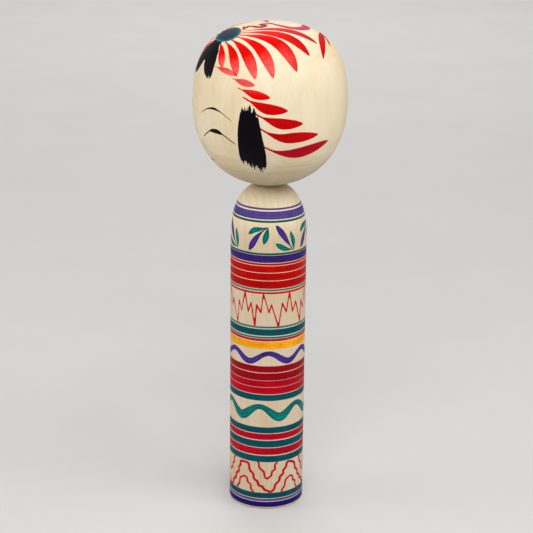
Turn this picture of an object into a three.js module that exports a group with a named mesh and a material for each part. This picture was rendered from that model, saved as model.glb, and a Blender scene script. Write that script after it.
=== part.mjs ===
// A turned wooden kokeshi doll, 240 mm tall, standing on its base and facing -Y.
// It is two pieces of lathe-turned wood. The body is a cylinder with a sloping shoulder and a blind
// socket in its top. The head is a rounded barrel, turned together with the round neck tenon below it.
// The tenon sits in the socket and lets the head turn about the doll's own axis.
// Units are millimetres, +Z is up, and the origin is the centre of the base.

import * as THREE from "three";

// Body
const BODY_RADIUS = 18.45;
const BODY_HEIGHT = 163; // from the base to the seat that the head rests over
const SHOULDER_HEIGHT = 27.6; // the part of the body's height that slopes in to the seat
const SHOULDER_FULLNESS = 2.47; // exponent of the shoulder's superellipse: 2 is an ellipse, more is boxier
const SEAT_RADIUS = 7.3; // the flat ring around the socket's mouth
const BASE_BEVEL = 0.8;

// Head
const HEAD_RADIUS = 36.7;
const CROWN_HEIGHT = 37.5; // from the head's widest circle to the top
const CROWN_FULLNESS = 2.62;
const CHIN_DEPTH = 39.3; // from the widest circle to where the underside's curve would meet the axis
const CHIN_FULLNESS = 2.15;
const COLLAR_HEIGHT = 0.8; // the short straight root of the neck, as wide as the seat

// Neck tenon and its socket
const NECK_RADIUS = 5;
const NECK_LENGTH = 22; // from the face over the seat to the tenon's tip
const NECK_BEVEL = 1.2;
const NECK_CLEARANCE = 0.1; // radial, all round the tenon
const SEAT_GAP = 0.3; // between the seat and the head's face over it
const SOCKET_END_GAP = 1.5; // spare depth below the tenon's tip
const SOCKET_MOUTH_BEVEL = 0.6;

// Fineness of the turned surfaces
const TURN_SEGMENTS = 64;
const SHOULDER_STEPS = 12;
const CROWN_STEPS = 14;
const CHIN_STEPS = 14;

const wood = { roughness: 0.5, metalness: 0 };
const materials = {
  body: new THREE.MeshStandardMaterial({ color: "#b06a5a", ...wood }),
  head: new THREE.MeshStandardMaterial({ color: "#e2cfa6", ...wood }),
};

// A quarter of a superellipse, |r / radius|^n + |z / rise|^n = 1, where n is its fullness.
class QuarterCurve {
  constructor(radius, rise, fullness) {
    this.radius = radius;
    this.rise = rise;
    this.fullness = fullness;
  }

  point(angle) {
    const power = 2 / this.fullness;
    const r = this.radius * Math.max(Math.cos(angle), 0) ** power;
    const z = this.rise * Math.max(Math.sin(angle), 0) ** power;
    return new THREE.Vector2(r, z);
  }

  angleAtRadius(r) {
    return Math.acos((r / this.radius) ** (this.fullness / 2));
  }

  // Points from the widest circle, which is at height 0, up to radius `endRadius`.
  pointsTo(endRadius, steps) {
    const endAngle = this.angleAtRadius(endRadius);
    return Array.from({ length: steps + 1 }, (_, i) => this.point((endAngle * i) / steps));
  }

  // The rise that a curve of this radius and fullness needs to pass radius `r` at height `z`.
  static riseThrough(radius, fullness, r, z) {
    return z / (1 - (r / radius) ** fullness) ** (1 / fullness);
  }
}

// Turns a profile of (radius, height) points, which runs from the axis at the bottom
// round the outside and back to the axis, into a solid about Z.
function turned(name, profile) {
  const geometry = new THREE.LatheGeometry(profile, TURN_SEGMENTS);
  geometry.rotateX(Math.PI / 2);
  const mesh = new THREE.Mesh(geometry, materials[name]);
  mesh.name = name;
  return mesh;
}

const at = (r, z) => new THREE.Vector2(r, z);

function body() {
  const shoulderStart = BODY_HEIGHT - SHOULDER_HEIGHT;
  const shoulderRise = QuarterCurve.riseThrough(
    BODY_RADIUS, SHOULDER_FULLNESS, SEAT_RADIUS, SHOULDER_HEIGHT);
  const shoulder = new QuarterCurve(BODY_RADIUS, shoulderRise, SHOULDER_FULLNESS)
    .pointsTo(SEAT_RADIUS, SHOULDER_STEPS)
    .map((p) => at(p.x, shoulderStart + p.y));
  const socketRadius = NECK_RADIUS + NECK_CLEARANCE;
  const socketBottom = BODY_HEIGHT - NECK_LENGTH - SOCKET_END_GAP;
  return turned("body", [
    at(0, 0),
    at(BODY_RADIUS - BASE_BEVEL, 0),
    at(BODY_RADIUS, BASE_BEVEL),
    ...shoulder,
    at(socketRadius + SOCKET_MOUTH_BEVEL, BODY_HEIGHT),
    at(socketRadius, BODY_HEIGHT - SOCKET_MOUTH_BEVEL),
    at(socketRadius, socketBottom),
    at(0, socketBottom),
  ]);
}

function head() {
  const chin = new QuarterCurve(HEAD_RADIUS, CHIN_DEPTH, CHIN_FULLNESS);
  const crown = new QuarterCurve(HEAD_RADIUS, CROWN_HEIGHT, CROWN_FULLNESS);
  const neckFace = BODY_HEIGHT + SEAT_GAP;
  const collarTop = neckFace + COLLAR_HEIGHT;
  const neckTip = neckFace - NECK_LENGTH;
  const widest = collarTop + chin.point(chin.angleAtRadius(SEAT_RADIUS)).y;
  const underside = chin
    .pointsTo(SEAT_RADIUS, CHIN_STEPS)
    .reverse()
    .map((p) => at(p.x, widest - p.y));
  const top = crown
    .pointsTo(0, CROWN_STEPS)
    .slice(1)
    .map((p) => at(p.x, widest + p.y));
  return turned("head", [
    at(0, neckTip),
    at(NECK_RADIUS - NECK_BEVEL, neckTip),
    at(NECK_RADIUS, neckTip + NECK_BEVEL),
    at(NECK_RADIUS, neckFace),
    at(SEAT_RADIUS, neckFace),
    ...underside,
    ...top,
  ]);
}

const doll = new THREE.Group();
doll.name = "kokeshi_doll";
doll.add(body(), head());

export default doll;
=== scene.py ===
"""A hand-painted kokeshi doll: two pieces of turned wood, dyed, brushed with ink and waxed.

The CAD solids give the size. Here each one is replaced by a finely turned mesh, and the painter's
layout is worked out on that mesh: stripes by height, and brush strokes as distances in millimetres
to given lines. The doll faces -Y. An azimuth of 0 is its front, and +90 is its left, at +X.
"""

import bpy
import numpy as np
from mathutils import Matrix, Vector


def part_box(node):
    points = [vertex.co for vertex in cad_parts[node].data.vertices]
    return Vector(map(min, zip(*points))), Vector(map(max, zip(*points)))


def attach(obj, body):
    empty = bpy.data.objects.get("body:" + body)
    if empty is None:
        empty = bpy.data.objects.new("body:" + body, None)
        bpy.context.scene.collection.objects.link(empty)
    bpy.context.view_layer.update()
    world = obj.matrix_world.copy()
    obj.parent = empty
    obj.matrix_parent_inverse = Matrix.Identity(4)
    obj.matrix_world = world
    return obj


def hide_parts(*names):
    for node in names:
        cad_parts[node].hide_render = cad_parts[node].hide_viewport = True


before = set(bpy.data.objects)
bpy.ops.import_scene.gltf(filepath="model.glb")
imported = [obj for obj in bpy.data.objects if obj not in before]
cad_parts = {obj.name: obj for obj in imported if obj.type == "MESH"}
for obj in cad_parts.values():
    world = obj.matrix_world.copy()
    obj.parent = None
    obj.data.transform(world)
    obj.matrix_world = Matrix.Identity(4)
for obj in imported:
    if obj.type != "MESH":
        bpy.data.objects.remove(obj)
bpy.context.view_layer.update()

MM = 0.001

# ---- Sizes, in millimetres, as the CAD part has them ----
_, body_high = (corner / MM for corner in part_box("body"))
head_low, head_high = (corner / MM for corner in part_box("head"))

BODY_RADIUS = body_high.x
SEAT = body_high.z
HEAD_RADIUS = head_high.x
TENON_TIP = head_low.z
CROWN_TOP = head_high.z

SHOULDER_HEIGHT = 27.6
SHOULDER_FULLNESS = 2.47
SEAT_RADIUS = 7.3
BASE_BEVEL = 0.8
CHIN_DEPTH = 39.3
CHIN_FULLNESS = 2.15
CROWN_FULLNESS = 2.62
COLLAR_HEIGHT = 0.8
NECK_RADIUS = 5.0
NECK_BEVEL = 1.2
NECK_CLEARANCE = 0.1
SEAT_GAP = 0.3
SOCKET_END_GAP = 1.5
SOCKET_MOUTH_BEVEL = 0.6


def superellipse(share, fullness):
    """How high a superellipse is at a share of its radius, or how wide at a share of its height."""
    return (1 - share**fullness) ** (1 / fullness)


COLLAR_TOP = SEAT + SEAT_GAP + COLLAR_HEIGHT
WIDEST = COLLAR_TOP + CHIN_DEPTH * superellipse(SEAT_RADIUS / HEAD_RADIUS, CHIN_FULLNESS)
CROWN_HEIGHT = CROWN_TOP - WIDEST


# ---- Turned meshes ----
CREASE_ANGLE = 38  # an edge of the mesh that turns by more degrees than this shades as a sharp one
OUTSIDE_UV = (0.05, 0.95)  # the part of the UV map's height that the painted outside fills


def add_object(name, data):
    """An object of the scene that shows a mesh, a light or a camera."""
    added = bpy.data.objects.new(name, data)
    bpy.context.scene.collection.objects.link(added)
    return added


def graded(start, stop, step_at):
    """Values from start to stop, spaced about step_at(value) apart."""
    values = [start]
    while values[-1] < stop:
        values.append(values[-1] + step_at(values[-1]))
    values = np.array(values)
    return start + (values - start) * (stop - start) / (values[-1] - start)


def quarter_curve(radius, rise, fullness, end_radius=0.0, samples=600):
    """(radius, height) along a superellipse, from its widest circle up to end_radius."""
    end = np.arccos((end_radius / radius) ** (fullness / 2))
    angle = np.linspace(0, end, samples)
    r = radius * np.clip(np.cos(angle), 0, 1) ** (2 / fullness)
    z = rise * np.sin(angle) ** (2 / fullness)
    return np.stack([r, z], 1)


def spaced(outline, step_at):
    """Points along an outline of (radius, height), about step_at(height) apart, both ends kept."""
    lengths = np.concatenate([[0], np.cumsum(np.linalg.norm(np.diff(outline, axis=0), axis=1))])
    along = graded(0.0, lengths[-1], lambda s: step_at(np.interp(s, lengths, outline[:, 1])))
    return np.stack([np.interp(along, lengths, outline[:, k]) for k in (0, 1)], 1)


def straight(corners, steps):
    """Points along straight lines from corner to corner, without the first corner."""
    corners = np.array(corners)
    shares = [np.linspace(0, 1, count + 1)[1:, None] for count in steps]
    return np.concatenate([a * (1 - share) + b * share for a, b, share in zip(corners, corners[1:], shares)])


def turned(name, profile, azimuths, uv_rows):
    """A closed solid of revolution: profile runs from the axis at the bottom round to the axis.

    azimuths are the columns in degrees, and uv_rows the first and last row of the painted outside.
    The result is the object and its vertices in mm.
    """
    rings = profile[1:-1]
    rows, columns = len(rings), len(azimuths)
    angle = np.radians(azimuths)
    points = np.empty((rows, columns, 3))
    points[..., 0] = rings[:, :1] * np.sin(angle)
    points[..., 1] = -rings[:, :1] * np.cos(angle)
    points[..., 2] = rings[:, 1:]
    vertices = np.concatenate([points.reshape(-1, 3), [[0, 0, profile[0][1]], [0, 0, profile[-1][1]]]])
    bottom, top = rows * columns, rows * columns + 1

    column = np.arange(columns)
    after = (column + 1) % columns
    row = np.arange(rows - 1)[:, None] * columns
    quads = np.stack([row + column, row + after, row + columns + after, row + columns + column], -1)
    first = np.stack([np.full(columns, bottom), after, column], -1)
    last_row = (rows - 1) * columns
    last = np.stack([last_row + column, last_row + after, np.full(columns, top)], -1)

    mesh = bpy.data.meshes.new(name)
    faces = quads.reshape(-1, 4).tolist() + first.tolist() + last.tolist()
    mesh.from_pydata((vertices * MM).tolist(), [], faces)
    mesh.polygons.foreach_set("use_smooth", np.ones(len(mesh.polygons), bool))
    mesh.set_sharp_from_angle(angle=np.radians(CREASE_ANGLE))
    lay_out_uv(mesh, rows, columns, uv_rows)
    return add_object(name, mesh), vertices


def lay_out_uv(mesh, rows, columns, uv_rows):
    """A UV map by row and column, so that it is finest where the mesh is. turned orders the faces."""
    height = np.interp(np.arange(rows), [0, *uv_rows, rows - 1], [0.0, *OUTSIDE_UV, 1.0])
    left, middle, right = ((np.arange(columns) + share) / columns for share in (0, 0.5, 1))
    quads_u = np.tile(np.stack([left, right, right, left], -1), (rows - 1, 1))
    below, above = (np.repeat(h, columns) for h in (height[:-1], height[1:]))
    quads_v = np.stack([below, below, above, above], -1)
    first_u = np.stack([middle, right, left], -1)
    last_u = np.stack([left, right, middle], -1)
    u = np.concatenate([quads_u.ravel(), first_u.ravel(), last_u.ravel()])
    v = np.concatenate([quads_v.ravel(), np.zeros(3 * columns), np.ones(3 * columns)])
    layer = mesh.uv_layers.new(name="OFBake")
    layer.uv.foreach_set("vector", np.stack([u, v], 1).astype(np.float32).ravel())


# ---- Brush strokes, as distances on the mesh ----
TAPER = 0.7


def smooth_line(points, steps=12):
    """A Catmull-Rom spline through the points."""
    points = np.asarray(points, float)
    ends = np.concatenate([[2 * points[0] - points[1]], points, [2 * points[-1] - points[-2]]])
    share = np.linspace(0, 1, steps, endpoint=False)[:, None]
    parts = []
    for a, b, c, d in zip(ends, ends[1:], ends[2:], ends[3:]):
        parts.append(0.5 * (2 * b + (c - a) * share + (2 * a - 5 * b + 4 * c - d) * share**2
                            + (3 * b - a - 3 * c + d) * share**3))
    return np.concatenate(parts + [points[-1:]])


def nearest_on(places, line):
    """Each place's distance to a polyline, and how far along it the nearest point is, from 0 to 1."""
    start, step = line[:-1], np.diff(line, axis=0)
    length = np.linalg.norm(step, axis=1)
    reach = np.concatenate([[0], np.cumsum(length)])
    best = np.full(len(places), np.inf)
    along = np.zeros(len(places))
    for a, s, l, before in zip(start, step, length, reach):
        share = np.clip((places - a) @ s / l**2, 0, 1)
        distance = np.linalg.norm(places - a - share[:, None] * s, axis=1)
        closer = distance < best
        best[closer] = distance[closer]
        along[closer] = (before + share[closer] * l) / reach[-1]
    return best, along


def leaf_width(along, widest, start, rise):
    """A brush mark's width from 0 to 1 along it: start at first, full at widest, and then to a point.

    The higher rise is, the longer the mark stays thin before it swells. TAPER is the same for its end.
    """
    swell = np.sin(np.pi * np.clip(along, 0, 1) ** (np.log(0.5) / np.log(widest)))
    before = along < widest
    return np.maximum(np.clip(swell, 0, 1) ** np.where(before, rise, TAPER), start * before)


class Ink:
    """What a brush has covered: for each vertex the depth inside a stroke in mm, negative outside."""

    MARGIN = 3.0  # how far outside a stroke its distance is still worked out

    def __init__(self, places):
        self.places = places
        self.depth = np.full(len(places), -self.MARGIN)
        self.along = np.zeros(len(places))

    def stroke(self, line, half_width, widest=0.6, start=0.0, rise=0.75):
        """Adds one brush mark along a line of places. leaf_width explains the last three values."""
        reach = half_width + self.MARGIN
        low, high = line.min(0) - reach, line.max(0) + reach
        near = np.flatnonzero(((self.places >= low) & (self.places <= high)).all(1))
        distance, along = nearest_on(self.places[near], line)
        depth = half_width * leaf_width(along, widest, start, rise) - distance
        deeper = depth > self.depth[near]
        self.depth[near[deeper]] = depth[deeper]
        self.along[near[deeper]] = along[deeper]


def inside(places, outline):
    """Whether each 2-D place is inside a closed outline."""
    found = np.zeros(len(places), bool)
    for (x0, y0), (x1, y1) in zip(outline, np.roll(outline, -1, axis=0)):
        if x0 == x1:
            continue
        crosses = (places[:, 0] >= min(x0, x1)) & (places[:, 0] < max(x0, x1))
        height = y0 + (places[:, 0] - x0) * (y1 - y0) / (x1 - x0)
        found ^= crosses & (places[:, 1] < height)
    return found


def side_of(places, line, beyond):
    """Signed distance to a 2-D line, negative on the side towards the height `beyond`.

    A signed distance has no crease along the line, so the mesh holds even a hair line exactly.
    """
    distance, _ = nearest_on(places, line)
    outline = np.concatenate([line, [[line[-1][0], beyond], [line[0][0], beyond]]])
    return np.where(inside(places, outline), -distance, distance)


def store(piece, fields):
    """Keeps each field as a float attribute of the mesh, for the materials to read."""
    for name, values in fields.items():
        attribute = piece.data.attributes.new(name, "FLOAT", "POINT")
        attribute.data.foreach_set("value", np.asarray(values, np.float32))


# ---- The body: its stripes and the patterns between them ----
# Each stripe is (dye, top, bottom), in mm above the base.
UPPER_STRIPES = [
    ("purple_line", 154.75, 154.0), ("purple", 153.3, 149.7), ("green", 149.15, 148.15),
    ("green", 133.45, 132.5), ("purple_deep", 132.25, 128.8), ("red", 128.4, 127.35),
    ("red", 127.05, 123.7), ("red", 123.4, 119.9), ("red", 119.6, 115.8),
    ("green_pale", 115.35, 114.5), ("red_line", 114.05, 113.1),
]
MIDDLE_STRIPES = [
    ("green_pale", 96.65, 95.65), ("teal", 95.25, 91.8), ("green_pale", 91.45, 90.5),
    ("red_line", 90.2, 88.95), ("yellow", 88.45, 85.1), ("crimson_deep", 76.2, 72.75),
    ("crimson_deep", 72.45, 68.75), ("crimson", 68.45, 65.25), ("crimson", 64.95, 61.5),
    ("teal", 61.25, 58.0),
]
LOWER_STRIPES = [
    ("teal", 44.0, 40.9), ("low_red", 40.6, 37.4), ("teal", 36.8, 33.35), ("low_red", 32.95, 29.2),
    ("teal", 28.75, 25.45), ("teal", 8.7, 5.75), ("purple", 5.35, 4.15), ("indigo", 3.75, 1.05),
]

# The (bottom, top) of each pattern's field.
LEAF_FIELD = (133.3, 148.3)
ZIGZAG_FIELD = (96.1, 113.6)
PURPLE_WAVE_FIELD = (76.2, 85.2)
GREEN_WAVE_FIELD = (44.0, 58.0)
HILL_FIELD = (8.6, 25.6)

# The leaf sprigs' places round the body, in degrees: they stand and hang by turns.
SPRIGS = [12.5, 64, 106, 151, 196, 241, 283, 326]
# A sprig's leaves are (ink, points in degrees and mm from its root, half width, place where it is widest).
STANDING_ROOT = LEAF_FIELD[0] + 1.2
STANDING_LEAVES = [
    ("leaf_green", [(-0.5, 0.1), (-10, 0.6), (-19, 1.7), (-28.5, 3.8)], 1.3, 0.62),
    ("leaf_green", [(2, 0), (0.2, 4.4), (-4.6, 9.4)], 1.2, 0.5),
    ("leaf_purple", [(-1, 0.4), (-9, 3.9), (-17, 7.8), (-28, 12.6)], 1.5, 0.66),
]
HANGING_ROOT = LEAF_FIELD[1] - 2.3
HANGING_LEAVES = [
    ("leaf_green", [(0.5, 0), (-11, -0.9), (-20, -1.6), (-29, -3.8)], 1.3, 0.62),
    ("leaf_green", [(2, 0), (0, -3.2), (-4.2, -8.2)], 1.45, 0.55),
    ("leaf_purple", [(-0.5, -0.3), (-9, -2.6), (-17, -5.8), (-27.5, -11.7)], 1.5, 0.68),
]

# The tall peaks of the zigzag, in degrees, spaced unevenly, as the painter did by hand.
ZIGZAG_PEAKS = [-8, 30.4, 60.2, 101.1, 139, 175, 210, 247, 281, 318]
# Its bends between two tall peaks: (share of the way, height).
ZIGZAG_SHAPE = [(0, 113.4), (0.19, 103.4), (0.32, 108), (0.58, 96.5), (0.68, 108), (0.86, 103.4)]
ZIGZAG_SWAY = 0.03  # how far the hand misses those places, as a share of the way
ZIGZAG_SLIP = 10  # and the mm of height for each share of the way

WAVES_ROUND = 6
# crest is the azimuth of a crest. The stroke is swell wider swell_at degrees after each crest.
PURPLE_WAVE = dict(crest=9.5, high=82.8, low=78.3, sharpness=0.95, half_width=1.38, swell=-0.2, swell_at=-6)
GREEN_WAVE = dict(crest=-3.5, high=55.0, low=49.3, sharpness=0.85, half_width=1.8, swell=0.46, swell_at=-28)

# The ridge's crests, in degrees round the body. The valleys between them are a little past half way.
CRESTS = [31, 107, 178, 249, 320]
VALLEY_SHARE = 0.54
# Points in degrees from a crest or a valley, and in mm from the field's top or bottom.
RIDGE_CREST = [(-9, -3.9), (-6, -2.0), (0, -1.0), (6, -1.9), (11, -4.9), (19, -9.8), (28, -13.3)]
RIDGE_VALLEY = [(-5, 2.0), (1, 0.5), (7, 2.6), (20, 9.5)]
HILL = [(-17, -4), (-13, 1.5), (-8, 5.4), (-1, 8.2), (5, 6.6), (12, 2.8), (18, -4)]
VEE = [(-23, 4), (-18, -0.8), (-11, -4.8), (-3, -9.2), (2, -7.2), (8, -3.4), (15, 4)]
WIGGLE_SIZE = 0.38
WIGGLE_LENGTH = 4.6

# Heights in mm that are well off every pattern that uses them.
BELOW = -50
ABOVE = 60


def unrolled(azimuth, height):
    """Places on the straight part of the body, laid flat: mm round it, and mm above the base."""
    return np.stack([np.radians(azimuth) * BODY_RADIUS, np.asarray(height, float)], -1)


def past_both_ends(azimuths):
    """Places round the body, with one more before them and two more after, so that a line closes."""
    return [azimuths[-1] - 360] + azimuths + [azimuths[0] + 360, azimuths[1] + 360]


def sprig_strokes(azimuth, stands):
    """(ink, line, half width, widest place) for a sprig's three leaves, at one of SPRIGS."""
    root = STANDING_ROOT if stands else HANGING_ROOT
    for ink, points, half_width, widest in STANDING_LEAVES if stands else HANGING_LEAVES:
        bends = np.array(points, float)
        yield ink, smooth_line(unrolled(azimuth + bends[:, 0], root + bends[:, 1])), half_width, widest


def zigzag_line():
    """One line round the body: from each tall peak down, up, far down, up and down to the next peak."""
    peaks = past_both_ends(ZIGZAG_PEAKS)
    points = []
    for number, (peak, following) in enumerate(zip(peaks, peaks[1:])):
        for place, (share, height) in enumerate(ZIGZAG_SHAPE):
            sway = ZIGZAG_SWAY * np.sin(2.3 * number + 1.7 * place) if place else 0
            points.append((peak + (share + sway) * (following - peak), height + ZIGZAG_SLIP * sway))
    return unrolled(*np.array(points).T)


def wave_depth(flat, field, crest, high, low, sharpness, half_width, swell, swell_at):
    """Depth inside the brush stroke of a wave that runs round the body. Sharpness narrows its crests."""
    azimuth = np.linspace(-60, 420, 481)
    phase = np.radians((azimuth - crest) * WAVES_ROUND)
    share = (0.5 + 0.5 * np.cos(phase + 0.12 * np.sin(azimuth / 23))) ** sharpness
    line = unrolled(azimuth, low + (high - low) * share)
    depth = np.full(len(flat), -Ink.MARGIN)
    rows = rows_in(flat, field, margin=0)
    distance, along = nearest_on(flat[rows], line)
    at = np.interp(along, np.linspace(0, 1, len(azimuth)), azimuth)
    width = half_width + swell * np.cos(np.radians((at - crest - swell_at) * WAVES_ROUND))
    depth[rows] = width - distance
    return depth


def wiggly(points, size, length):
    """A line through flat places that wiggles from side to side, once every length mm."""
    line = smooth_line(points, 16)
    step = np.gradient(line, axis=0)
    step /= np.linalg.norm(step, axis=1)[:, None]
    along = np.concatenate([[0], np.cumsum(np.linalg.norm(np.diff(line, axis=0), axis=1))])
    sideways = np.stack([-step[:, 1], step[:, 0]], 1)
    wave = np.sin(2 * np.pi * (along / length + 0.15 * np.sin(along / 3.1)))
    return line + size * wave[:, None] * sideways


def hill_lines():
    """The ridge that runs round the body, the small hill under each crest, and the vee in each valley."""
    def placed(shape, azimuth, height):
        return [(azimuth + across, height + up) for across, up in shape]

    def drawn(points):
        return wiggly(unrolled(*np.array(points, float).T), WIGGLE_SIZE, WIGGLE_LENGTH)

    low, high = HILL_FIELD
    crests = past_both_ends(CRESTS)
    ridge, hills, vees = [], [], []
    for crest, following in zip(crests, crests[1:]):
        valley = crest + VALLEY_SHARE * (following - crest)
        ridge += placed(RIDGE_CREST, crest, high) + placed(RIDGE_VALLEY, valley, low)
        hills.append(drawn(placed(HILL, crest, low)))
        vees.append(drawn(placed(VEE, valley, high)))
    return drawn(ridge), hills, vees


def nearest_of(flat, lines, beyond):
    """The signed distance to whichever of several lines is nearest."""
    sides = np.stack([side_of(flat, line, beyond) for line in lines])
    nearest = np.abs(sides).argmin(0)
    return sides[nearest, np.arange(len(flat))]


def rows_in(flat, field, margin=0.5):
    """Which of the flat places are in a field, or within margin mm of it."""
    return np.flatnonzero((flat[:, 1] > field[0] - margin) & (flat[:, 1] < field[1] + margin))


def body_paint(vertices):
    """The body's painted fields, one value for each vertex."""
    azimuth = np.degrees(np.arctan2(vertices[:, 0], -vertices[:, 1])) % 360
    flat = unrolled(azimuth, vertices[:, 2])
    inner = np.hypot(vertices[:, 0], vertices[:, 1]) <= BODY_RADIUS - 4
    flat[inner, 1] = BELOW

    inks = {"leaf_green": Ink(flat), "leaf_purple": Ink(flat)}
    for number, place in enumerate(SPRIGS + [SPRIGS[0] + 360]):
        for ink, line, half_width, widest in sprig_strokes(place, stands=number % 2 == 0):
            inks[ink].stroke(line, half_width, widest, start=0.2)
    fields = {name: ink.depth for name, ink in inks.items()}

    for name in ("zigzag", "ridge", "hill", "vee"):
        fields[name] = np.full(len(flat), Ink.MARGIN)
    rows = rows_in(flat, ZIGZAG_FIELD)
    fields["zigzag"][rows] = side_of(flat[rows], zigzag_line(), BELOW)
    rows = rows_in(flat, HILL_FIELD)
    ridge, hills, vees = hill_lines()
    fields["ridge"][rows] = side_of(flat[rows], ridge, BELOW)
    fields["hill"][rows] = nearest_of(flat[rows], hills, BELOW)
    fields["vee"][rows] = nearest_of(flat[rows], vees, ABOVE)

    fields["wave_purple"] = wave_depth(flat, PURPLE_WAVE_FIELD, **PURPLE_WAVE)
    fields["wave_green"] = wave_depth(flat, GREEN_WAVE_FIELD, **GREEN_WAVE)
    return fields


BODY_ROW = 0.6  # mm between the mesh's rows
LEAF_ROW = 0.36  # where the leaves are painted
BODY_COLUMN = 1.4  # degrees


def body_profile():
    """(radius, height) from the centre of the base, up the outside and down the neck's socket.

    With it come the first and last row of the painted outside.
    """
    rise = SHOULDER_HEIGHT / superellipse(SEAT_RADIUS / BODY_RADIUS, SHOULDER_FULLNESS)
    shoulder = quarter_curve(BODY_RADIUS, rise, SHOULDER_FULLNESS, SEAT_RADIUS)
    shoulder[:, 1] += SEAT - SHOULDER_HEIGHT
    turn = np.linspace(-np.pi / 2, 0, 7)
    bevel = np.stack([BODY_RADIUS - BASE_BEVEL * (1 - np.cos(turn)), BASE_BEVEL * (1 + np.sin(turn))], 1)
    wall = np.concatenate([bevel[-1:], shoulder])
    rows = spaced(wall, lambda z: LEAF_ROW if LEAF_FIELD[0] - 1 < z < LEAF_FIELD[1] + 1 else BODY_ROW)
    base = np.stack([np.linspace(0, BODY_RADIUS - BASE_BEVEL, 14), np.zeros(14)], 1)
    socket = NECK_RADIUS + NECK_CLEARANCE
    floor = TENON_TIP - SEAT_GAP - SOCKET_END_GAP
    inner = straight([(SEAT_RADIUS, SEAT), (socket + SOCKET_MOUTH_BEVEL, SEAT),
                      (socket, SEAT - SOCKET_MOUTH_BEVEL), (socket, floor), (0, floor)], [3, 1, 6, 3])
    outside_rows = (len(base) + len(bevel) - 3, len(base) + len(bevel) + len(rows) - 4)
    return np.concatenate([base, bevel[1:-1], rows, inner]), outside_rows


def make_body():
    profile, outside_rows = body_profile()
    azimuths = graded(0.0, 360.0, lambda azimuth: BODY_COLUMN)[:-1]
    piece, vertices = turned("painted_body", profile, azimuths, outside_rows)
    store(piece, body_paint(vertices))
    piece.data.materials.append(body_material())
    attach(piece, "doll_body")
    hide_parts("body")


# ---- The head: hair, face, and the red crown ornament ----
def head_radius_at(height):
    """The head's radius at a height, in mm."""
    height = np.asarray(height, float)
    up = np.clip((height - WIDEST) / CROWN_HEIGHT, 0, 1)
    down = np.clip((WIDEST - height) / CHIN_DEPTH, 0, 1)
    shares = np.where(height >= WIDEST, superellipse(up, CROWN_FULLNESS), superellipse(down, CHIN_FULLNESS))
    return HEAD_RADIUS * shares


def on_side(points):
    """Places on the head from (azimuth in degrees, height in mm)."""
    azimuth, height = np.array(points, float).T
    radius, angle = head_radius_at(height), np.radians(azimuth)
    return np.stack([radius * np.sin(angle), -radius * np.cos(angle), height], 1)


def on_crown(points):
    """Places on the top half of the head from (x, y) in mm, as seen from above."""
    x, y = np.array(points, float).T
    share = np.clip(np.hypot(x, y) / HEAD_RADIUS, 0, 1)
    height = WIDEST + CROWN_HEIGHT * superellipse(share, CROWN_FULLNESS)
    return np.stack([x, y, height], 1)


# The left half of the ornament, seen from above, in mm: each petal runs from the hair knot to its tip.
# (points along it, half width at its widest)
PETALS = [
    ([(3.5, -26.6), (8, -27.9), (14.9, -30.3)], 2.0),
    ([(6.5, -25.2), (14, -25.3), (22.8, -26.2)], 2.3),
    ([(7.5, -23.2), (17, -21.5), (28.9, -19.6)], 2.6),
    ([(8, -21), (15.5, -17.9), (23, -15), (32.5, -12.3)], 2.6),
    ([(7.8, -19.8), (13, -15.9), (23, -7.2), (33.8, -1.4)], 3.0),
    ([(7, -18.6), (12, -12.8), (20.5, -1.5), (29.7, 6.6)], 2.75),
    ([(5.8, -17.8), (9.8, -11), (14.8, 0.2), (23, 13.6)], 2.3),
]
# The loose leaf strokes that fall from the ornament past the side hair: (azimuth, height) and half width.
FALLING_LEAVES = [
    ([(17, 223.5), (29.8, 222.4), (41.2, 220.9)], 1.4),
    ([(36.5, 219.7), (44, 218.5), (56, 217)], 1.6),
    ([(42.5, 215.6), (49, 214.4), (57, 212.9), (67.3, 211.8)], 1.95),
    ([(47.5, 211.6), (54, 209.6), (65, 206.8), (80, 205.8)], 2.45),
    ([(56.5, 204.4), (64, 202.2), (76, 199.9), (91.4, 199.6)], 2.5),
    ([(58, 198.4), (67, 195.2), (77, 193.2), (90, 193.2), (105.2, 193.7)], 2.6),
    ([(60.5, 189.5), (72, 186.4), (85, 185.3), (98, 186.3), (117.6, 189.6)], 2.85),
]
# The ribbon behind the knot: a wavy line back from it, which opens into a loop on each side.
KNOT_END = [(0.6, -14), (2.8, -14.3), (5.4, -16)]
RIBBON_LINE = [(3.4, -13.7), (2.4, -12), (4.2, -10.6), (6.7, -9.4), (7.5, -7.4), (6, -5.8), (3.4, -6.1),
               (2.4, -4.4), (2.9, -2.2), (4.8, -0.5), (7.5, 0.6)]
RIBBON_LOOP = [(1.6, -1), (4.8, -0.5), (8.6, 1.1), (11.8, 4), (12.6, 7.6), (11.2, 11.3), (8.2, 14.2),
               (4.4, 15.8), (0, 16.5), (-5, 15.6)]
BACK_LEAVES = [
    ([(4, 23.6), (10, 21.4), (19, 17.6), (28.6, 14)], 1.95),
    ([(6, 22.6), (12.5, 22.8), (18.9, 22.1)], 0.95),
]

KNOT_CENTRE = (0, -21.3)
KNOT_SIZE = (9.0, 5.3)

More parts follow.
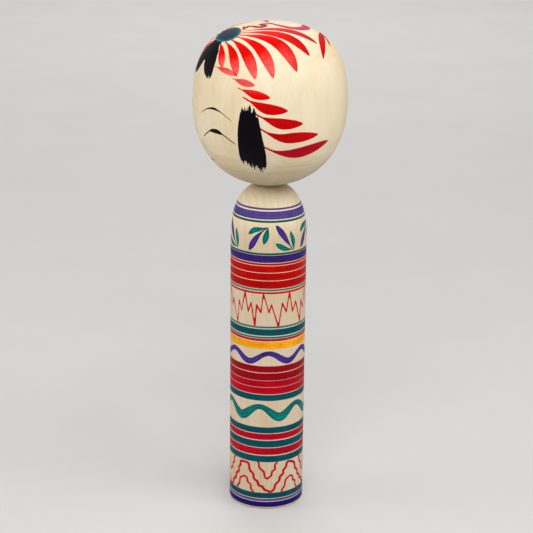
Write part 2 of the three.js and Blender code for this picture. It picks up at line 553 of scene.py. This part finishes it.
# Outlines of the hair, as (height, azimuth of its middle, half width in mm).
SIDE_HAIR = [(210, 51.8, 2.9), (207, 51.9, 3.6), (203, 51.8, 4.4), (199.2, 51.9, 5.1), (194.5, 52.1, 5.8),
             (188.8, 52.8, 6.3), (184.5, 53.2, 6.4), (180, 53.6, 6.0), (176, 54.6, 4.4), (173, 55.4, 2.6)]
FORELOCK = [(238, 3.8, 1.3), (232, 4.6, 2.3), (229.6, 7.3, 3.8), (225.8, 8.5, 4.8), (223, 9.6, 4.5),
            (220.7, 11.1, 3.8), (219.2, 12.2, 3.0), (217.7, 13.4, 1.5), (216.3, 14.2, 0.3)]
HAIR_BOTTOM = 176.3  # of the side hair, under its middle
HAIR_SLOPE = 0.55  # how fast the bottom falls towards the back
CORNER_START = 2.8  # mm behind the middle, from where the bottom rises to the back edge
CORNER_RISE = 1.5
HAIR_TOP = 208.8  # 1 mm in front of its middle
HAIR_ARCH = 0.13  # how fast the top falls to both sides, for each square mm
FORELOCK_END = 216.6
PARTING_TOP = 225.0  # above it the two halves of the forelock are one, across the front of the head
PARTING_AZIMUTH = 9

# Thin face lines through (azimuth, height), and their half widths in mm by azimuth.
BROW = [(7.2, 201.2), (11, 202.6), (14.7, 203.8), (18.9, 204.5), (22.7, 204.6), (25.6, 204.3), (29.7, 203.4),
        (35.9, 201.2), (38.4, 200.2)]
BROW_WIDTH = [(6, 0), (8, 0.12), (14, 0.22), (19, 0.44), (23.5, 0.58), (27, 0.36), (30, 0.2), (37, 0.13),
              (39.4, 0)]
LID = [(7, 190.1), (12.2, 192), (16.6, 193.6), (19.5, 194), (22.5, 194.1), (25.5, 194), (28.5, 193.5),
       (31.2, 192.7), (34.7, 191.4), (40, 189.3)]
LID_WIDTH = [(6, 0), (7.5, 0.24), (16, 0.28), (18, 0.6), (20, 0.95), (23.5, 1.12), (27, 0.98), (28.8, 0.5),
             (30.4, 0.28), (39, 0.24), (41, 0)]
# The line down each side of the nose, as (height, azimuth, half width).
NOSE = [(188, 0.8, 0), (186.6, 1.3, 0.22), (184.5, 2.0, 0.24), (183, 2.7, 0.3), (182, 3.1, 0)]
MOUTH_CENTRE = 177.6
MOUTH_SIZE = (2.4, 0.62)
SMILE = 0.05  # how fast the mouth rises to both sides, for each square mm

# The part of the head, in degrees and in mm of height, that holds the face's thin lines.
FACE_AZIMUTH = 60
FACE_HEIGHTS = (175, 215)


def hair(azimuth, height, outline):
    """Across the hair in mm from its middle, and how deep inside its side edges."""
    heights, middles, half_widths = np.array(outline[::-1], float).T
    middle = np.interp(height, heights, middles)
    across = np.radians(azimuth - middle) * head_radius_at(height)
    return across, np.interp(height, heights, half_widths) - np.abs(across)


def face_line(azimuth, height, line, widths):
    """Signed distance to a thin line on the face, and the line's half width at that azimuth."""
    first, last = line[0], line[-1]
    path = smooth_line([(first[0] - 12, first[1] - 4), *line, (last[0] + 12, last[1] - 6)])
    scale = np.array([np.radians(1) * HEAD_RADIUS, 1])
    near = np.flatnonzero((azimuth < FACE_AZIMUTH) & (height > FACE_HEIGHTS[0]) & (height < FACE_HEIGHTS[1]))
    offset = np.full(len(azimuth), Ink.MARGIN)
    offset[near] = side_of(np.column_stack([azimuth, height])[near] * scale, path * scale, BELOW)
    places, sizes = np.array(widths, float).T
    return offset, np.interp(azimuth, places, sizes, left=-1, right=-1)


def head_paint(vertices):
    """The head's painted fields, one value for each vertex. Its two halves are painted alike."""
    folded = np.column_stack([np.abs(vertices[:, 0]), vertices[:, 1:]])
    azimuth = np.degrees(np.arctan2(folded[:, 0], -folded[:, 1]))
    height = vertices[:, 2]
    radius = np.hypot(vertices[:, 0], vertices[:, 1])

    petals, falling, loops, line = Ink(folded), Ink(folded), Ink(folded), Ink(vertices)
    for ink, surface, strokes, shape in (
            (petals, on_crown, PETALS, dict(widest=0.64, start=0.16)),
            (petals, on_crown, BACK_LEAVES, dict(widest=0.55, start=0.35)),
            (falling, on_side, FALLING_LEAVES, dict(widest=0.58, start=0.16, rise=1.5)),
            (loops, on_crown, [(RIBBON_LOOP, 2.2)], dict(widest=0.55, start=0.4, rise=0.5)),
            (line, on_crown, [(RIBBON_LINE, 1.55)], dict(widest=0.5, start=0.7, rise=0.4)),
            (line, on_crown, [(KNOT_END, 1.1)], dict(widest=0.5, start=0.4))):
        for points, half_width in strokes:
            ink.stroke(surface(smooth_line(points)), half_width, **shape)
    fields = {"petals": petals.depth, "petals_along": petals.along, "falling": falling.depth,
              "falling_along": falling.along, "loops": loops.depth, "ribbon": line.depth}

    knot = np.hypot(*((folded[:, :2] - KNOT_CENTRE) / KNOT_SIZE).T)
    fields["knot"] = np.where(height > WIDEST, (1 - knot) * KNOT_SIZE[1], -Ink.MARGIN)

    across, depth = hair(azimuth, height, SIDE_HAIR)
    corner = np.clip(across - CORNER_START, 0, None)
    bottom = HAIR_BOTTOM - HAIR_SLOPE * across + CORNER_RISE * corner
    top = HAIR_TOP - HAIR_ARCH * (across + 1) ** 2
    fields["side_hair_across"] = across
    fields["side_hair"] = np.clip(depth, -Ink.MARGIN, None)
    fields["side_hair_end"] = np.minimum(height - bottom, top - height)

    across, depth = hair(azimuth, height, FORELOCK)
    in_front = (folded[:, 1] < KNOT_CENTRE[1]) & (height > FORELOCK_END - 4)
    joined = (height > PARTING_TOP) & (azimuth < PARTING_AZIMUTH)
    filled = np.where(joined, np.maximum(depth, np.minimum(depth + 9, 2)), depth)
    fields["forelock_across"] = across
    fields["forelock"] = np.where(in_front, filled, -Ink.MARGIN)
    fields["forelock_end"] = height - FORELOCK_END

    fields["brow"], fields["brow_width"] = face_line(azimuth, height, BROW, BROW_WIDTH)
    fields["lid"], fields["lid_width"] = face_line(azimuth, height, LID, LID_WIDTH)
    heights, places, widths = np.array(NOSE[::-1], float).T
    round_front = np.radians(azimuth) * radius
    fields["nose"] = np.radians(azimuth - np.interp(height, heights, places)) * radius
    fields["nose_width"] = np.interp(height, heights, widths, left=-1, right=-1)
    smile = MOUTH_CENTRE + SMILE * round_front**2
    mouth = np.hypot(round_front / MOUTH_SIZE[0], (height - smile) / MOUTH_SIZE[1])
    fields["mouth"] = np.clip((1 - mouth) * MOUTH_SIZE[1], -Ink.MARGIN, None)
    return fields


# The head's mesh: mm between rows, under the chin, over the face and over the crown, and the heights
# between those, then degrees between columns, on the face, at the sides and behind.
CHIN_ROW, FACE_ROW, CROWN_ROW = 1.0, 0.36, 0.52
CHIN_END, FACE_END = 174, 207
FRONT_COLUMN, SIDE_COLUMN, BACK_COLUMN = 0.52, 0.95, 2.0
FRONT_END, SIDE_END = 42, 135


def head_profile():
    """(radius, height) from the tenon's tip, up the neck, round the chin and over the crown.

    With it come the first and last row of the painted outside.
    """
    face = SEAT + SEAT_GAP
    chin = quarter_curve(HEAD_RADIUS, -CHIN_DEPTH, CHIN_FULLNESS, SEAT_RADIUS)[::-1]
    crown = quarter_curve(HEAD_RADIUS, CROWN_HEIGHT, CROWN_FULLNESS)
    outline = np.concatenate([chin, crown[1:]])
    outline[:, 1] += WIDEST

    def step_at(height):
        if height < CHIN_END:
            return CHIN_ROW
        return FACE_ROW if height < FACE_END else CROWN_ROW

    rows = spaced(outline, step_at)
    tip = (0, TENON_TIP)
    neck = straight([tip, (NECK_RADIUS - NECK_BEVEL, TENON_TIP), (NECK_RADIUS, TENON_TIP + NECK_BEVEL),
                     (NECK_RADIUS, face), (SEAT_RADIUS, face)], [2, 1, 5, 2])
    return np.concatenate([[tip], neck, rows]), (len(neck), len(neck) + len(rows) - 2)


def make_head():
    def step_at(azimuth):
        from_front = min(azimuth, 360 - azimuth)
        if from_front < FRONT_END:
            return FRONT_COLUMN
        return SIDE_COLUMN if from_front < SIDE_END else BACK_COLUMN

    profile, outside_rows = head_profile()
    piece, vertices = turned("painted_head", profile, graded(0.0, 360.0, step_at)[:-1], outside_rows)
    store(piece, head_paint(vertices))
    piece.data.materials.append(head_material())
    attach(piece, "doll_head")
    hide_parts("head")


# ---- Materials ----
def colour(code):
    """A linear colour from a hex code."""
    values = [int(code[i:i + 2], 16) / 255 for i in (1, 3, 5)]
    return tuple(v / 12.92 if v <= 0.04045 else ((v + 0.055) / 1.055) ** 2.4 for v in values) + (1.0,)


DYES = {dye: colour(code) for dye, code in {
    "purple": "#53458c", "purple_deep": "#352070", "purple_line": "#604898", "indigo": "#1c1068",
    "green": "#005a54", "green_pale": "#04766e", "teal": "#004e5a", "red": "#b60203",
    "red_line": "#c60808", "crimson": "#b4001c", "crimson_deep": "#980018", "low_red": "#b60024",
    "hill_red": "#c2062a", "yellow": "#fba800", "leaf_green": "#007264", "leaf_purple": "#422c80",
    "wave_purple": "#402a80", "wave_green": "#00706c", "scarlet": "#e60000",
    "scarlet_thin_and_sheen": "#f6665e", "scarlet_dark": "#c60004", "scarlet_deep": "#b60020",
    "ribbon": "#a8103c", "loop": "#d01448", "ink": "#080508", "ink_thin": "#0e0828",
    "knot": "#08304a", "knot_rim": "#008484", "knot_middle": "#0e1232", "nose_grey": "#8a7c72",
}.items()}
WOOD_PALE = colour("#f4e6c9")
WOOD_WARM = colour("#e9d4ab")
WOOD_GRAIN = colour("#b98f5c")
WOOD_PAINTED_SHADE = colour("#e9e5e8")  # painted shade: what the body's bare wood below the shoulder is multiplied by, darker and greyer where less light falls
PAINTED_SHADE_TOP = UPPER_STRIPES[0][1] - 4
PAINTED_SHADE_FADE = 12

# Noise frequencies are waves per mm along X, Y and Z, so wood's are low along Z, where its fibres run.
RINGS_PER_MM = 0.36
RING_BEND = 4.5
ROUGHNESS = (0.4, 0.54)  # of the wax, by wear
DYE_GLOSS = 0.04  # how much less that is over dye
SHINE = 0.06  # the specular level of the dry wax
RELIEF = 0.06  # mm of depth that the bump stands for


class Finish:
    """A material being built: short calls that add shader nodes and join them.

    Places are in mm of the piece's own frame, so the finish turns with the piece.
    """

    def __init__(self, name):
        self.material = bpy.data.materials.new(name)
        self.material.use_nodes = True
        self.tree = self.material.node_tree
        self.tree.nodes.clear()
        coordinates = self.node("TexCoord").outputs["Object"]
        self.place = self.node("VectorMath", {0: coordinates, "Scale": 1 / MM}, operation="SCALE").outputs[0]
        self.x, self.y, self.z = self.node("SeparateXYZ", {0: self.place}).outputs

    def node(self, kind, inputs=None, **settings):
        node = self.tree.nodes.new("ShaderNode" + kind)
        for key, value in settings.items():
            setattr(node, key, value)
        for key, value in (inputs or {}).items():
            if isinstance(value, bpy.types.NodeSocket):
                self.tree.links.new(value, node.inputs[key])
            else:
                node.inputs[key].default_value = value
        return node

    def math(self, operation, *values, clamp=False):
        return self.node("Math", dict(enumerate(values)), operation=operation, use_clamp=clamp).outputs[0]

    def add(self, first, second, clamp=False):
        return self.math("ADD", first, second, clamp=clamp)

    def subtract(self, first, second):
        return self.math("SUBTRACT", first, second)

    def multiply(self, first, second):
        return self.math("MULTIPLY", first, second)

    def combine(self, x=0.0, y=0.0, z=0.0):
        return self.node("CombineXYZ", {0: x, 1: y, 2: z}).outputs[0]

    def noise(self, frequency, detail=2.0, roughness=0.5, place=None):
        """Noise from 0 to 1 with the given number of waves per mm along X, Y and Z."""
        scaled = self.node("VectorMath", {0: place or self.place, 1: frequency}, operation="MULTIPLY")
        return self.node("TexNoise", {"Vector": scaled.outputs[0], "Scale": 1.0, "Detail": detail,
                                      "Roughness": roughness}).outputs[0]

    def swing(self, noise, size):
        """Noise from 0 to 1 turned into a value from -size to size."""
        return self.multiply(self.subtract(noise, 0.5), 2 * size)

    def between(self, value, low, high, to_low=0.0, to_high=1.0):
        """The value eased from to_low at low to to_high at high."""
        return self.node("MapRange", {"Value": value, "From Min": low, "From Max": high, "To Min": to_low,
                                      "To Max": to_high}, interpolation_type="SMOOTHSTEP").outputs[0]

    def mix(self, share, first, second, blend="MIX"):
        """The first colour where share is 0, and where it is 1 the second, or the two blended."""
        mixed = self.node("Mix", {0: share, 6: first, 7: second}, data_type="RGBA", blend_type=blend)
        return mixed.outputs[2]

    def times(self, tone, value, share=1.0):
        """The colour made darker or lighter by a value, where share is 1."""
        return self.mix(share, tone, self.combine(value, value, value), blend="MULTIPLY")

    def field(self, name):
        return self.node("Attribute", attribute_name=name).outputs["Fac"]

    def edge(self, depth, soft=0.07):
        """1 inside a stroke and 0 outside, from the depth inside it in mm."""
        return self.between(depth, -soft, soft)

    def line(self, offset, half_width):
        """1 on a line and 0 off it, from the signed distance to it."""
        return self.edge(self.subtract(half_width, self.math("ABSOLUTE", offset)))

    def start_paint(self, bare):
        """Begins with bare wood. dyed is the colour so far, and covered is where the paint is."""
        self.dyed, self.covered = bare, 0.0

    def paint(self, share, dye):
        """A dye over the colour so far, where share is 1."""
        self.dyed = self.mix(share, self.dyed, dye)
        self.covered = self.math("MAXIMUM", self.covered, share)

    def surfaced(self, inputs):
        """The material, with a shader of these inputs for its surface."""
        shader = self.node("BsdfPrincipled", inputs)
        self.node("OutputMaterial", {"Surface": shader.outputs[0]})
        return self.material

    def paint_stripes(self, stripes, level):
        """One band of dye for each (dye, top, bottom).

        A CONSTANT colour ramp over the level in mm keeps their edges sharp.
        """
        low, high = stripes[-1][2] - 1, stripes[0][1] + 1
        place = self.node("MapRange", {"Value": level, "From Min": low, "From Max": high}).outputs[0]
        ramp = self.node("ValToRGB", {0: place})
        stops = ramp.color_ramp
        stops.interpolation = "CONSTANT"
        stops.elements.remove(stops.elements[1])
        stops.elements[0].color = (1, 1, 1, 0)
        for dye, top, bottom in reversed(stripes):
            stops.elements.new((bottom - low) / (high - low)).color = DYES[dye]
            stops.elements.new((top - low) / (high - low)).color = DYES[dye][:3] + (0,)
        self.paint(ramp.outputs[1], ramp.outputs[0])


def wood(finish, pith, ring_depth):
    """Pale turned wood: the colour, and a height for the bump.

    The growth rings are cylinders about the pith, an upright line beside the piece, so they run
    straight up the sides and close in curves over the crown, the shoulder and the base.
    """
    bend = finish.swing(finish.noise((0.045, 0.045, 0.008), 3.0), RING_BEND)
    from_pith = finish.node("VectorMath", {0: finish.combine(finish.x, finish.y), 1: pith + (0.0,)},
                            operation="DISTANCE").outputs["Value"]
    year = finish.multiply(finish.add(from_pith, bend), RINGS_PER_MM)
    uneven = finish.between(finish.noise((0.08, 0.08, 0.02), 2.0), 0.3, 0.7, 0.1, 1.0)
    ring = finish.multiply(finish.math("POWER", finish.math("FRACT", year), 3.0), uneven)
    fibre = finish.noise((1.5, 1.5, 0.06), 3.0, 0.6)
    flecks = finish.between(finish.noise((2.6, 2.6, 0.4), 1.0), 0.68, 0.8)
    patches = finish.noise((0.045, 0.045, 0.02), 3.0)
    tone = finish.mix(finish.between(patches, 0.3, 0.72), WOOD_PALE, WOOD_WARM)
    tone = finish.mix(finish.multiply(ring, ring_depth), tone, WOOD_GRAIN)
    tone = finish.mix(finish.between(fibre, 0.4, 0.8, 0.0, 0.09), tone, WOOD_GRAIN)
    tone = finish.mix(finish.multiply(flecks, 0.12), tone, WOOD_GRAIN)
    height = finish.add(finish.multiply(fibre, 0.5), finish.multiply(ring, 0.3))
    return tone, height


def lathe_marks(finish, tone, height, low, high):
    """Fine turning marks round the piece, strong below the height low and faint above high."""
    marks = finish.noise((0.02, 0.02, 2.1), 3.0, 0.7)
    strength = finish.between(finish.z, low, high, 1.0, 0.12)
    tone = finish.times(tone, finish.between(marks, 0.3, 0.7, 0.86, 1.03), strength)
    return tone, finish.add(height, finish.multiply(marks, strength))


def make_dye_uneven(finish):
    """Dye as it dries: streaked round the lathe, pooled here and there, with the grain showing through."""
    streaks = finish.noise((0.03, 0.03, 1.9), 3.0, 0.65)
    pools = finish.noise((0.1, 0.1, 0.3), 3.0)
    fibre = finish.noise((1.1, 1.1, 0.05), 2.0)
    for noise, *spread in ((streaks, 0.28, 0.72, 0.82, 1.16), (pools, 0.3, 0.7, 0.86, 1.1),
                           (fibre, 0.3, 0.7, 0.92, 1.06)):
        finish.dyed = finish.times(finish.dyed, finish.between(noise, *spread), finish.covered)


def complete(finish, tone, height, covered):
    """The wax: a satin surface whose gloss varies with wear, and is a little higher on the dye."""
    worn = finish.noise((0.05, 0.05, 0.05), 4.0, 0.6)
    rough = finish.between(worn, 0.3, 0.7, *ROUGHNESS)
    rough = finish.subtract(rough, finish.multiply(covered, DYE_GLOSS))
    bump = finish.node("Bump", {"Height": height, "Strength": 0.3, "Distance": RELIEF * MM})
    return finish.surfaced({"Base Color": tone, "Roughness": rough, "Normal": bump.outputs[0],
                            "Specular IOR Level": SHINE})


UNPAINTED_RADIUS = 12.0  # nearer the axis than this the body is bare: the socket and the middle of the base


def body_material():
    """Wood with stripes painted while the body turned on the lathe, brushed patterns between them, and
    painted shade on the bare wood below the shoulder.
    """
    finish = Finish("painted_body_wood")
    tone, height = wood(finish, pith=(23.0, 55.0), ring_depth=0.2)
    tone, height = lathe_marks(finish, tone, height, low=3, high=12)
    # Painted shade: the bare wood below the shoulder is made darker and greyer, fading out towards the
    # shoulder.
    painted_shade = finish.between(finish.z, PAINTED_SHADE_TOP - PAINTED_SHADE_FADE, PAINTED_SHADE_TOP, 1.0, 0.0)
    tone = finish.mix(painted_shade, tone, WOOD_PAINTED_SHADE, blend="MULTIPLY")
    from_axis = finish.node("VectorMath", {0: finish.combine(finish.x, finish.y)},
                            operation="LENGTH").outputs["Value"]
    outside = finish.edge(finish.subtract(from_axis, UNPAINTED_RADIUS))

    wobble = finish.swing(finish.noise((0.12, 0.12, 0.3), 2.0), 0.08)
    level = finish.add(finish.z, wobble)
    finish.start_paint(tone)
    for stripes in (UPPER_STRIPES, MIDDLE_STRIPES, LOWER_STRIPES):
        finish.paint_stripes(stripes, level)

    rough_edge = finish.swing(finish.noise((0.7, 0.7, 0.7), 2.0), 0.12)
    for name in ("leaf_green", "leaf_purple", "wave_purple", "wave_green"):
        depth = finish.add(finish.field(name), rough_edge)
        share = finish.edge(depth)
        hairs = finish.noise((2.4, 0.09, 0.09), 3.0, 0.6, place=finish.combine(depth, finish.x, finish.y))
        brushed = finish.multiply(finish.between(depth, 0.1, 1.3, 0.86, 1.22),
                                  finish.between(hairs, 0.3, 0.7, 0.7, 1.3))
        finish.paint(share, finish.times(DYES[name], brushed))

    swell = finish.swing(finish.noise((0.16, 0.16, 0.16), 1.0), 0.22)
    for name, dye, half_width, (low, high) in (("zigzag", "red_line", 0.35, ZIGZAG_FIELD),
                                               ("ridge", "hill_red", 0.68, HILL_FIELD),
                                               ("hill", "hill_red", 0.55, HILL_FIELD),
                                               ("vee", "hill_red", 0.55, HILL_FIELD)):
        share = finish.line(finish.field(name), finish.add(swell, half_width))
        from_middle = finish.math("ABSOLUTE", finish.subtract(finish.z, (low + high) / 2))
        in_field = finish.edge(finish.subtract((high - low) / 2, from_middle))
        finish.paint(finish.multiply(share, in_field), DYES[dye])

    make_dye_uneven(finish)
    covered = finish.multiply(finish.covered, outside)
    return complete(finish, finish.mix(outside, tone, finish.dyed), height, covered)


def petal_dye(finish, along, thin_from, thin_by, bristles):
    """Scarlet that runs pale by thin_by, in streaks, from thin_from of the way along to the stroke's tip:
    thin dye, and over the front petals also a painted highlight.
    """
    thin = finish.multiply(finish.between(along, thin_from, 1.0), thin_by)
    streaked = finish.add(thin, finish.swing(bristles, 0.3), clamp=True)
    return finish.mix(finish.multiply(streaked, finish.between(thin, 0.0, 0.1)),
                      DYES["scarlet"], DYES["scarlet_thin_and_sheen"])


PAINTED_UNDERSIDE_SHADE = 0.56  # painted shade: how dark the head's wood is painted at the neck, under the head
PAINTED_SHADE_HEIGHT = 20  # mm, over which that painted shade fades


def head_material():
    """Wood with a brushed face, hair and red ornament, turning marks under the chin, and painted shade at
    the neck.
    """
    finish = Finish("painted_head_wood")
    tone, height = wood(finish, pith=(-46.0, -19.0), ring_depth=0.12)
    tone, height = lathe_marks(finish, tone, height, low=176, high=194)
    # Painted shade: the wood under the head is darkened towards the neck, where the head shades it.
    painted_underside_shade = finish.between(finish.z, COLLAR_TOP, COLLAR_TOP + PAINTED_SHADE_HEIGHT, PAINTED_UNDERSIDE_SHADE, 1.0)
    tone = finish.times(tone, painted_underside_shade)
    finish.start_paint(tone)
    rough_edge = finish.swing(finish.noise((0.8, 0.8, 0.8), 2.0), 0.1)
    bristles = finish.noise((0.9, 0.9, 0.9), 3.0, 0.6)

    share = finish.edge(finish.add(finish.field("petals"), rough_edge))
    along = finish.field("petals_along")
    # Painted highlight: the petals run paler towards the front, partly as thin dye and partly as wax sheen
    # painted into the colour.
    petal_thin_and_sheen = finish.between(finish.y, -13, 7, 1.0, 0.0)
    red = petal_dye(finish, along, 0.5, petal_thin_and_sheen, bristles)
    near_start = finish.between(along, 0.1, 0.32, 0.5, 0.0)
    first_touch = finish.multiply(near_start, finish.between(finish.y, -24, -14))
    red = finish.mix(first_touch, red, DYES["scarlet_thin_and_sheen"])
    red = finish.mix(finish.between(finish.y, -5, 3, 0.0, 0.75), red, DYES["scarlet_dark"])
    finish.paint(share, red)

    off_petals = finish.subtract(1.0, share)
    share = finish.edge(finish.add(finish.field("falling"), rough_edge))
    thin_by = finish.multiply(finish.between(finish.z, 212, 220, 0.0, 0.9), off_petals)
    red = petal_dye(finish, finish.field("falling_along"), -0.6, thin_by, bristles)
    red = finish.mix(finish.between(finish.z, 202, 213, 1.0, 0.0), red, DYES["scarlet_dark"])
    red = finish.mix(finish.between(finish.z, 185, 194, 1.0, 0.0), red, DYES["scarlet_deep"])
    finish.paint(share, red)

    for name, dye in (("loops", "loop"), ("ribbon", "ribbon")):
        finish.paint(finish.edge(finish.add(finish.field(name), rough_edge)), DYES[dye])
    make_dye_uneven(finish)

    for name, raggedness in (("forelock", 2.6), ("side_hair", 3.4)):
        bristle = finish.noise((1.3, 0.0, 0.07), 3.0, 0.75,
                               place=finish.combine(finish.field(name + "_across"), 0.0, finish.z))
        inside_end = finish.field(name + "_end")
        end = finish.subtract(inside_end, finish.between(bristle, 0.35, 0.68, 0.0, raggedness))
        side = finish.add(finish.field(name), finish.swing(bristle, 0.3))
        share = finish.multiply(finish.edge(side), finish.edge(end, 0.12))
        low_down = finish.between(inside_end, 0.0, 9.0, 0.9, 0.1)
        ink = finish.mix(finish.multiply(bristle, low_down), DYES["ink"], DYES["ink_thin"])
        finish.paint(share, ink)

    knot = finish.add(finish.field("knot"), rough_edge)
    share = finish.edge(knot)
    strands = finish.noise((0.25, 1.1, 0.25), 3.0, 0.7)
    rim = finish.add(finish.between(knot, 0.1, 1.3, 0.9, 0.0), finish.swing(strands, 0.5), clamp=True)
    middle = finish.add(finish.between(knot, 0.8, 3.6, 0.0, 0.8), finish.swing(strands, 0.6), clamp=True)
    knotted = finish.mix(rim, DYES["knot"], DYES["knot_rim"])
    knotted = finish.mix(middle, knotted, DYES["knot_middle"])
    finish.paint(share, knotted)

    front = finish.edge(finish.subtract(-5.0, finish.y))
    for name, dye in (("brow", "ink"), ("lid", "ink"), ("nose", "nose_grey")):
        share = finish.line(finish.field(name), finish.field(name + "_width"))
        finish.paint(finish.multiply(share, front), DYES[dye])
    finish.paint(finish.multiply(finish.edge(finish.field("mouth")), front), DYES["red_line"])
    return complete(finish, finish.dyed, height, finish.covered)


# ---- Studio ----
VIEW_AZIMUTH = 67.0  # from the doll's front towards its left
VIEW_PITCH = 17.25
VIEW_DISTANCE = 763.4
VIEW_HEIGHT = 121.3  # of the point on the doll's axis that the camera aims beside
VIEW_ASIDE = 0.87  # how far the doll stands to the right of that point
VIEW_ROLL = 0.6
FOCAL_SHARE = 2.932458  # the focal length over the picture's width
SENSOR = 36.0

# Lights and floor, in metres and watts.
LIGHT_DISTANCE = 0.95
LIGHT_SIZE = 0.6
LIGHTS = [("key", 60, 50, 3.5), ("side", -85, 16, 2.2), ("front", 0, 45, 4.7)]  # azimuth, elevation, power
BACKDROP_LIGHT = dict(size=1.6, power=13)
BACKDROP_BEHIND = 1.7
BACKDROP_HEIGHT = 1.2
WORLD_STRENGTH = 0.5
FLOOR_HALF = 6.0


def direction(azimuth, elevation):
    """A unit vector from the doll towards an azimuth and elevation, in degrees."""
    a, e = np.radians(azimuth), np.radians(elevation)
    return Vector((np.sin(a) * np.cos(e), -np.cos(a) * np.cos(e), np.sin(e)))


def facing(towards):
    """The turn of a camera or a light that stands in a direction and looks back at the doll."""
    return towards.to_track_quat("Z", "Y").to_matrix().to_4x4()


def add_camera():
    data = bpy.data.cameras.new("camera")
    data.sensor_width = SENSOR
    data.lens = FOCAL_SHARE * SENSOR
    data.clip_start = 0.05
    data.clip_end = 50
    camera = add_object("camera", data)
    right = direction(VIEW_AZIMUTH + 90, 0)
    aim = Vector((0, 0, VIEW_HEIGHT)) - right * VIEW_ASIDE
    towards = direction(VIEW_AZIMUTH, VIEW_PITCH)
    turn = facing(towards) @ Matrix.Rotation(np.radians(VIEW_ROLL), 4, "Z")
    camera.matrix_world = Matrix.Translation((aim + towards * VIEW_DISTANCE) * MM) @ turn
    bpy.context.scene.camera = camera


def area_light(name, size, power):
    """A soft square light."""
    data = bpy.data.lights.new(name, "AREA")
    data.shape = "SQUARE"
    data.size = size
    data.energy = power
    return add_object(name, data)


def add_lights():
    """Lights on the doll's head, with azimuths from the camera's, and one over the floor behind it."""
    middle = Vector((0, 0, WIDEST * MM))
    for name, azimuth, elevation, power in LIGHTS:
        towards = direction(VIEW_AZIMUTH + azimuth, elevation)
        light = area_light(name, LIGHT_SIZE, power)
        light.matrix_world = Matrix.Translation(middle + towards * LIGHT_DISTANCE) @ facing(towards)
    behind = direction(VIEW_AZIMUTH + 180, 0) * BACKDROP_BEHIND
    light = area_light("backdrop", **BACKDROP_LIGHT)
    light.matrix_world = Matrix.Translation(behind + Vector((0, 0, BACKDROP_HEIGHT)))


def floor_material():
    finish = Finish("studio_floor")
    speckle = finish.noise((0.01, 0.01, 0.01), 4.0)
    tone = finish.mix(speckle, colour("#cfcdcc"), colour("#d6d5d3"))
    return finish.surfaced({"Base Color": tone, "Roughness": 0.75})


def add_floor():
    corners = [(x * FLOOR_HALF, y * FLOOR_HALF, 0) for x, y in ((-1, -1), (1, -1), (1, 1), (-1, 1))]
    mesh = bpy.data.meshes.new("floor")
    mesh.from_pydata(corners, [], [(0, 1, 2, 3)])
    floor = add_object("floor", mesh)
    mesh.materials.append(floor_material())


def set_world():
    world = bpy.data.worlds.new("studio")
    world.use_nodes = True
    background = world.node_tree.nodes["Background"]
    background.inputs["Color"].default_value = colour("#eceae8")
    background.inputs["Strength"].default_value = WORLD_STRENGTH
    bpy.context.scene.world = world
    bpy.context.scene.view_settings.view_transform = "Standard"


add_camera()
set_world()
add_floor()
add_lights()
make_body()
make_head()
